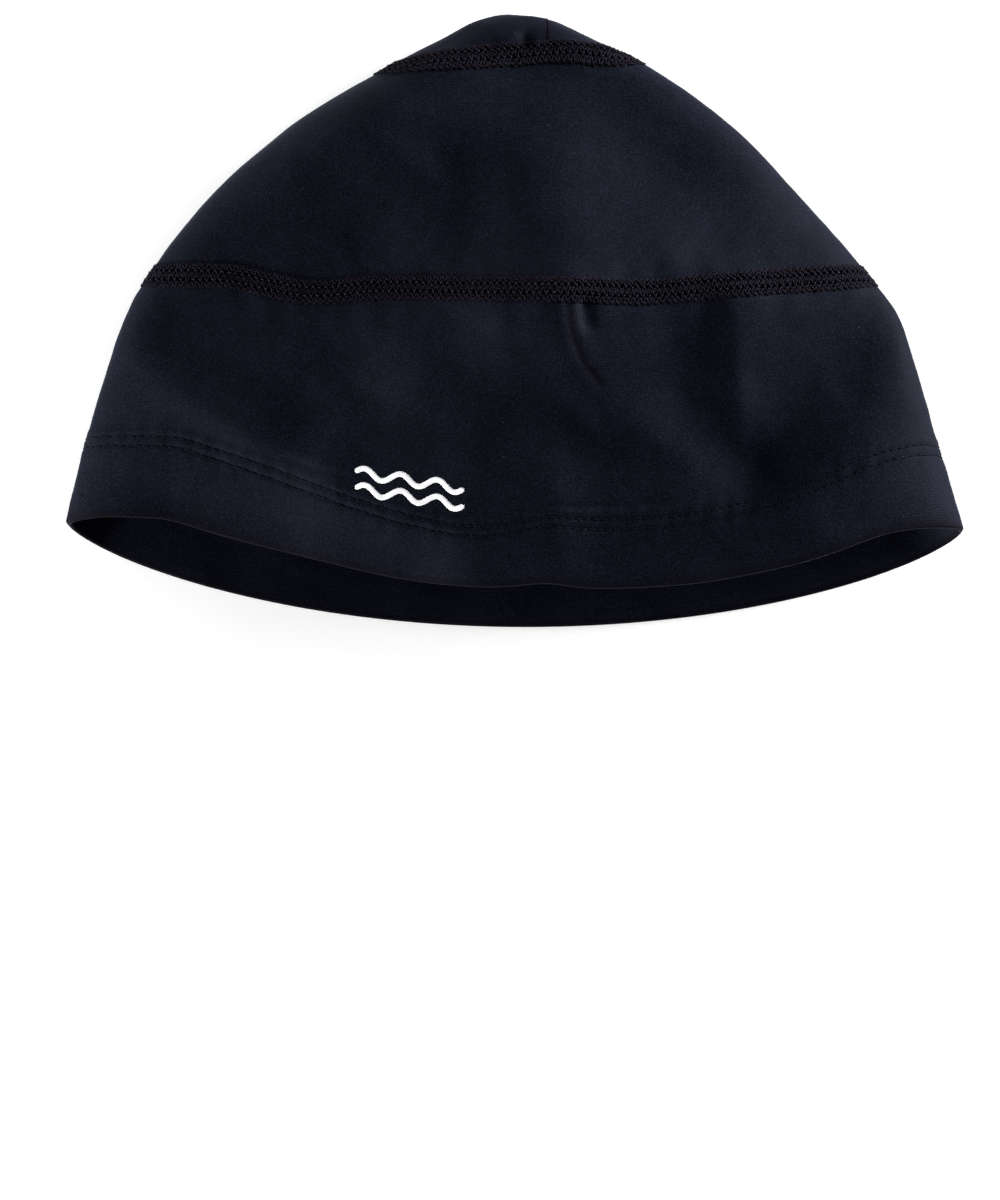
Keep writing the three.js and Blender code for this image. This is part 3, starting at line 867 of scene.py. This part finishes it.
# %% The water waves
def place_under(x, y):
    """The angle and run of the front's skin at places seen from above, by Newton's steps.

    The search starts in the middle of the front, just above the hem.
    """
    angle, run = np.full(np.shape(x), 1.6), np.full(np.shape(x), 28.0)
    for _ in range(14):
        here = skin(angle, run)
        around, along = ways_on_skin(angle, run)
        miss_x, miss_y = x - here[..., 0], y - here[..., 1]
        size = around[..., 0] * along[..., 1] - around[..., 1] * along[..., 0]
        angle = angle + np.clip((miss_x * along[..., 1] - miss_y * along[..., 0]) / size, -0.2, 0.2)
        run = run + np.clip((miss_y * around[..., 0] - miss_x * around[..., 1]) / size, -6, 6)
    return angle, run


def water_wave(start_x, start_y, length, slope, crests, reach, width):
    """One printed wave, as a thin bar that is closed all round."""
    along = np.linspace(0, length, 150)
    height = reach * np.sin(2 * math.pi * crests * along / length)
    centre = np.stack([along, height], axis=-1)
    ahead = unit(np.gradient(centre, axis=0))
    square = np.stack([-ahead[:, 1], ahead[:, 0]], axis=-1)
    from_end = np.minimum(along, length - along)
    half = width / 2 * np.sqrt(np.clip(1 - (1 - np.minimum(from_end / (width / 2), 1)) ** 2, 0.0004, 1))
    lines = []
    for part, out in ((-1, -0.03), (-0.96, 0.05), (-0.5, 0.065), (0, 0.065), (0.5, 0.065), (0.96, 0.05),
                      (1, -0.03), (0, -0.06)):
        place = centre + square * (part * half)[:, None]
        x = start_x + place[:, 0] * math.cos(slope) - place[:, 1] * math.sin(slope)
        y = start_y + place[:, 0] * math.sin(slope) + place[:, 1] * math.cos(slope)
        angle, run = place_under(x, y)
        lines.append(cloth_point(angle, run, out)[0])
    return closed_bar(np.stack(lines, axis=1))


waves = [water_wave(-43.5, start_y, 30, math.radians(-9), 3, 1.3, 1.5) for start_y in (-41.5, -46.0)]
wave_print = threads_object("wave_print", waves)

# %% [markdown]
# ## Materials
# Elastic swim cloth is knitted so fine that one sees only hair-thin ribs and a dusty grain. It is
# nearly black navy, mirrors hardly anything, and its filaments glow softly where they are seen from
# the side, which is what sheen is for. The ribs come from the cloth map, so they follow each piece.
# Grain and mottling come from noise in space. Where the knit is marked as open, the colour goes over
# to the darker inside of the loops, and that mark also paints the shade in the bends. Picture textures
# could do the same, but they would blur up close.

# %% Helpers for materials
class Finish:
    """A material under work: its nodes, and the shader that they feed."""

    def __init__(self, name):
        self.material = bpy.data.materials.new(name)
        self.material.use_nodes = True
        self.nodes, self.links = self.material.node_tree.nodes, self.material.node_tree.links
        self.nodes.clear()
        output = self.nodes.new("ShaderNodeOutputMaterial")
        self.shader = self.nodes.new("ShaderNodeBsdfPrincipled")
        self.links.new(self.shader.outputs["BSDF"], output.inputs["Surface"])
        self.space = self.nodes.new("ShaderNodeTexCoord").outputs["Object"]

    def feed(self, node, values):
        """Sets the inputs of a node to numbers and colours, or links them to other nodes."""
        for key, value in values.items():
            if isinstance(value, bpy.types.NodeSocket):
                self.links.new(value, node.inputs[key])
            else:
                node.inputs[key].default_value = value

    def add(self, kind, values, output, **settings):
        """A new node with its settings and inputs. Gives one of its outputs."""
        node = self.nodes.new("ShaderNode" + kind)
        for key, value in settings.items():
            setattr(node, key, value)
        self.feed(node, values)
        return node.outputs[output]

    def cloth_map(self):
        """The two directions of the cloth map, in centimetres."""
        place = self.add("UVMap", {}, "UV", uv_map="cloth_map")
        along = self.add("SeparateXYZ", {"Vector": place}, "X")
        return along, along.node.outputs["Y"]

    def calculate(self, operation, *values):
        """A Math node on sockets and numbers."""
        return self.add("Math", dict(enumerate(values)), "Value", operation=operation)

    def noise(self, scale, detail, roughness=0.5):
        """A noise texture in space."""
        values = {"Vector": self.space, "Scale": scale, "Detail": detail, "Roughness": roughness}
        return self.add("TexNoise", values, "Fac")

    def blend(self, part, first, second):
        """A colour between two others."""
        return self.add("Mix", {"Factor": part, "A": first, "B": second}, "Result", data_type="RGBA")

    def ramp(self, value, *stops):
        """Colours for a value, from stops that each hold a place and a colour."""
        colours = self.add("ValToRGB", {"Fac": value}, "Color")
        elements = colours.node.color_ramp.elements
        while len(elements) < len(stops):
            elements.new(0.5)
        for element, (place, colour) in zip(elements, stops):
            element.position, element.color = place, (*colour, 1)
        return colours

    def done(self, colour, roughness, specular, relief, strength, depth):
        """Feeds the shader and gives the material. The relief is a bump, its depth in metres."""
        normal = self.add("Bump", {"Strength": strength, "Distance": depth, "Height": relief}, "Normal")
        self.feed(self.shader, {"Base Color": colour, "Roughness": roughness,
                                "Specular IOR Level": specular, "Normal": normal})
        return self.material


# %% Navy knit
RIB = 0.58  # distance between the ribs of the knit
SLANTING_RIB = 0.66  # and between those of the crown, which is cut across
WALE = 0.42  # distance between its loops along a rib
SHADES = (0, 0.5, 1)
NAVY = ((0.0009, 0.0012, 0.0029), (0.0022, 0.0028, 0.0064), (0.0056, 0.0068, 0.0142))
LOOP_INSIDE_AND_CREASE_SHADE = ((0.0004, 0.0001, 0.0006), (0.0011, 0.0003, 0.0016), (0.0032, 0.0010, 0.0046))
LINT = ((0.2, (0.04, 0.044, 0.06)), (0.8, (0.06, 0.066, 0.09)))
LINT_SIZE = 0.042
LINT_RARITY = 0.93


def navy_knit(name, rib_distance, rib_strength, grain_strength, middle):
    """The cap's cloth: fine ribs, grain, mottling, a few light specks of lint, and a soft sheen."""
    cloth = Finish(name)
    along, up = cloth.cloth_map()
    turns = 2 * math.pi * MAP_UNIT
    bend = cloth.calculate("MULTIPLY", cloth.noise(90, 2), 9.0)
    rib_turn = cloth.calculate("MULTIPLY", up, turns / rib_distance)
    rib = cloth.calculate("SINE", cloth.calculate("ADD", rib_turn, bend))
    wale_turn = cloth.calculate("MULTIPLY", along, turns / WALE)
    wale = cloth.calculate("SINE", cloth.calculate("ADD", wale_turn, rib))
    grain, mottle = cloth.noise(1900, 2, 0.7), cloth.noise(70, 3, 0.6)
    knit = cloth.calculate("MULTIPLY_ADD", wale, 0.35, rib)
    tone = cloth.calculate("MULTIPLY_ADD", knit, 0.07 * rib_strength, middle)
    for pattern, share in ((grain, grain_strength), (mottle, 0.5)):
        around_middle = cloth.calculate("SUBTRACT", pattern, 0.5)
        tone = cloth.calculate("MULTIPLY_ADD", around_middle, share, tone)
    navy, inside = (cloth.ramp(tone, *zip(SHADES, colours)) for colours in (NAVY, LOOP_INSIDE_AND_CREASE_SHADE))
    # where the mark lies, the colour goes to the darker inside of the loops and paints the shade in the
    # bend
    knit_and_shade_mark = cloth.add("Attribute", {}, "Fac", attribute_name="open_knit_and_crease_shade")
    flecks = cloth.add("TexVoronoi", {"Vector": cloth.space, "Scale": 330}, "Distance")
    chance = cloth.add("SeparateColor", {"Color": flecks.node.outputs["Color"]}, "Red")
    near = cloth.calculate("LESS_THAN", flecks, LINT_SIZE)
    lint = cloth.calculate("MULTIPLY", near, cloth.calculate("GREATER_THAN", chance, LINT_RARITY))
    colour = cloth.blend(lint, cloth.blend(knit_and_shade_mark, navy, inside), cloth.ramp(grain, *LINT))
    cloth.feed(cloth.shader, {"Sheen Weight": 0.036, "Sheen Roughness": 0.4,
                              "Sheen Tint": (0.42, 0.5, 0.85, 1)})
    rough = cloth.calculate("MULTIPLY_ADD", grain, 0.3, 0.55)
    relief = cloth.calculate("MULTIPLY_ADD", grain, 1.2, cloth.calculate("MULTIPLY", knit, 0.3))
    return cloth.done(colour, rough, 0.03, relief, 0.7, 0.00006)


navy_cloth_material = navy_knit("navy_knit", RIB, 1.0, 3.1, 0.48)
# the crown's copy has stronger ribs and a darker middle tone, which is painted shade over the crown
crown_cloth_shaded_material = navy_knit("navy_knit_slanting_shaded", SLANTING_RIB, 8.0, 1.2, 0.36)

# %% [markdown]
# ## Thread, needle holes and print
# The braid's thread is spun from textured filament, a warm near-black. Its needle thread is a little
# lighter, and the hem's thread is dyed like the cloth. All get a twist, a bump that winds round the
# tube, from the thread map. The needle holes and the join are near-black painted shade, and the print
# is a matt white with fine pores.

# %% Threads and print
TWIST = 0.4  # distance between the turns of a thread's twist


def spun_thread(name, dark, light, roughness, specular):
    """A twisted thread between two tones."""
    thread = Finish(name)
    round_it, lengthwise = thread.cloth_map()
    turns = thread.calculate("MULTIPLY", lengthwise, 2 * math.pi * MAP_UNIT / TWIST)
    twist = thread.calculate("SINE", thread.calculate("MULTIPLY_ADD", round_it, 4 * math.pi, turns))
    fuzz = thread.noise(2600, 2, 0.6)
    tone = thread.calculate("MULTIPLY_ADD", twist, 0.12, fuzz)
    rough = thread.calculate("MULTIPLY_ADD", fuzz, 0.25, roughness)
    return thread.done(thread.ramp(tone, (0.32, dark), (0.72, light)), rough, specular, tone, 0.6, 0.00005)


def plain_finish(name, dark, light, scale, roughness, specular):
    """A finish that only varies softly between two tones."""
    plain = Finish(name)
    pores = plain.noise(scale, 3, 0.6)
    rough = plain.calculate("MULTIPLY_ADD", pores, 0.2, roughness)
    return plain.done(plain.ramp(pores, (0.2, dark), (0.8, light)), rough, specular, pores, 0.3, 0.00004)


braid_material = spun_thread("near_black_thread", (0.0010, 0.0008, 0.0014),
                             (0.0135, 0.0112, 0.0185), 0.7, 0.02)
knot_material = spun_thread("needle_thread", (0.0022, 0.0018, 0.0034),
                            (0.0170, 0.0140, 0.0255), 0.55, 0.06)
hem_thread_material = spun_thread("navy_thread", (0.0008, 0.0009, 0.0019),
                                  (0.0045, 0.0052, 0.0100), 0.6, 0.05)
# near-black painted shade of the needle holes
hole_shade_material = plain_finish("needle_hole_painted_shade", (0.0003, 0.0003, 0.0004),
                             (0.0008, 0.0007, 0.0011), 2000, 0.9, 0.0)
# near-black painted shade between the braid's threads and in the crown's centre line
join_shade_material = plain_finish("join_painted_shade", (0.0002, 0.0002, 0.0003),
                             (0.0008, 0.0006, 0.0010), 1500, 0.9, 0.0)
print_material = plain_finish("white_print", (0.74, 0.745, 0.76), (0.86, 0.86, 0.87), 1800, 0.5, 0.3)

# %% [markdown]
# ## Hand the pieces over
# Each piece is listed with its finish, a slot from the record's finishes and the solids that it stands
# for. It gets its finish, and those solids are hidden.

# %% Finishes and solids
# each piece with its finish, its slot and the solids that it stands for
DRESSED = [
    (lower_cloth, navy_cloth_material, "navy_cloth", "hem", "lower_panel"),
    (middle_cloth, navy_cloth_material, "navy_cloth", "middle_panel"),
    (crown_left_cloth, crown_cloth_shaded_material, "navy_cloth", "crown_left"),
    (crown_right_cloth, crown_cloth_shaded_material, "navy_cloth", "crown_right"),
    (lower_join, join_shade_material, "seam_thread", "lower_seam"),
    (upper_join, join_shade_material, "seam_thread", "upper_seam"),
    (lower_knots, knot_material, "seam_thread"),
    (upper_knots, knot_material, "seam_thread"),
    (crown_seam_shade_thread, join_shade_material, "seam_thread"),
    (hem_stitches, hem_thread_material, "navy_cloth"),
    (hem_needle_hole_shade, hole_shade_material, "seam_thread"),
    (wave_print, print_material, "navy_cloth"),
]
for braided in (lower_braid, upper_braid, lower_filling, upper_filling, lower_inner_braid,
                upper_inner_braid, crown_tape, hem_looper):
    DRESSED.append((braided, braid_material, "seam_thread"))
for piece, finish, slot, *solids in DRESSED:
    piece.data.materials.append(finish)
    if solids:
        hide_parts(*solids)
print("dressed pieces:", len(DRESSED))


# %% [markdown]
# ## The table, the light and the camera
# The cap lies on a white light table that glows a little, so no grey shadow surrounds it. Two broad
# soft lights stand low: one on the right, a little towards the crown, and one on the left, a little
# towards the mouth. A weaker one on the left stands beyond the crown. They graze the cloth: sides of
# folds turn light and their tops stay dark, which is how dark cloth shows its shape. A faint light
# overhead keeps the hollows open. The camera looks straight down from far away through a long lens, so
# nothing is drawn larger because it is nearer.

# %% Floor and light
FLOOR_HALF = 4
FLOOR_HEIGHT = -0.0003
FLOOR_GLOW = 0.32
CAP_MIDDLE = (0, 0, 0.02)
WHITE = (1, 1, 1, 1)


def white_ground():
    """A wide plain floor just under the cap, which glows a little."""
    mesh = bpy.data.meshes.new("white_floor")
    signs = ((-1, -1), (1, -1), (1, 1), (-1, 1))
    corners = [(FLOOR_HALF * x, FLOOR_HALF * y, FLOOR_HEIGHT) for x, y in signs]
    mesh.from_pydata(corners, [], [(0, 1, 2, 3)])
    floor = bpy.data.objects.new("white_floor", mesh)
    bpy.context.scene.collection.objects.link(floor)
    finish = plain_finish("white_floor", (0.87, 0.87, 0.87), (0.9, 0.9, 0.9), 30, 0.8, 0.1)
    glow = finish.node_tree.nodes["Principled BSDF"].inputs
    glow["Emission Color"].default_value = WHITE
    glow["Emission Strength"].default_value = FLOOR_GLOW
    mesh.materials.append(finish)


def soft_light(name, azimuth, elevation, distance, size, power):
    """A rectangular soft light that looks at the cap from an azimuth and an elevation."""
    lamp = bpy.data.lights.new(name, "AREA")
    lamp.shape = "RECTANGLE"
    lamp.size, lamp.size_y = size
    lamp.energy = power
    holder = bpy.data.objects.new(name, lamp)
    bpy.context.scene.collection.objects.link(holder)
    turn, rise = math.radians(azimuth), math.radians(elevation)
    way = np.array([math.cos(rise) * math.cos(turn), math.cos(rise) * math.sin(turn), math.sin(rise)])
    holder.location = distance * way
    way = unit(distance * way - CAP_MIDDLE)
    holder.rotation_euler = (math.acos(way[2]), 0, math.atan2(way[1], way[0]) + math.pi / 2)


white_ground()
soft_light("right_softbox", 20, 8, 1.3, (0.8, 0.3), 73)
soft_light("left_softbox", 212, 8, 1.3, (0.8, 0.3), 49)
soft_light("far_left_softbox", 145, 8, 1.3, (0.8, 0.3), 16)
soft_light("overhead_softbox", 0, 88, 1.4, (1.0, 0.8), 4)
world = bpy.data.worlds.new("pale_studio")
bpy.context.scene.world = world
world.use_nodes = True
background = world.node_tree.nodes["Background"].inputs
background["Color"].default_value = WHITE
background["Strength"].default_value = 0.02

# %% The camera
FRAME_HEIGHT = 1200 * 0.273 * MILLIMETRE  # the picture's 1200 pixels, at 0.273 mm each
CAMERA_HEIGHT = 3.0
PICTURE_MIDDLE = (-4.1 * MILLIMETRE, -76.4 * MILLIMETRE)
lens = bpy.data.cameras.new("overhead")
lens.sensor_width = 36
lens.lens = lens.sensor_width * (CAMERA_HEIGHT - CAP_MIDDLE[2]) / FRAME_HEIGHT
lens.clip_end = 50
camera = bpy.data.objects.new("overhead", lens)
bpy.context.scene.collection.objects.link(camera)
camera.location = (*PICTURE_MIDDLE, CAMERA_HEIGHT)
bpy.context.scene.camera = camera
bpy.context.scene.view_settings.view_transform = "Standard"
print("lens, mm:", round(lens.lens))
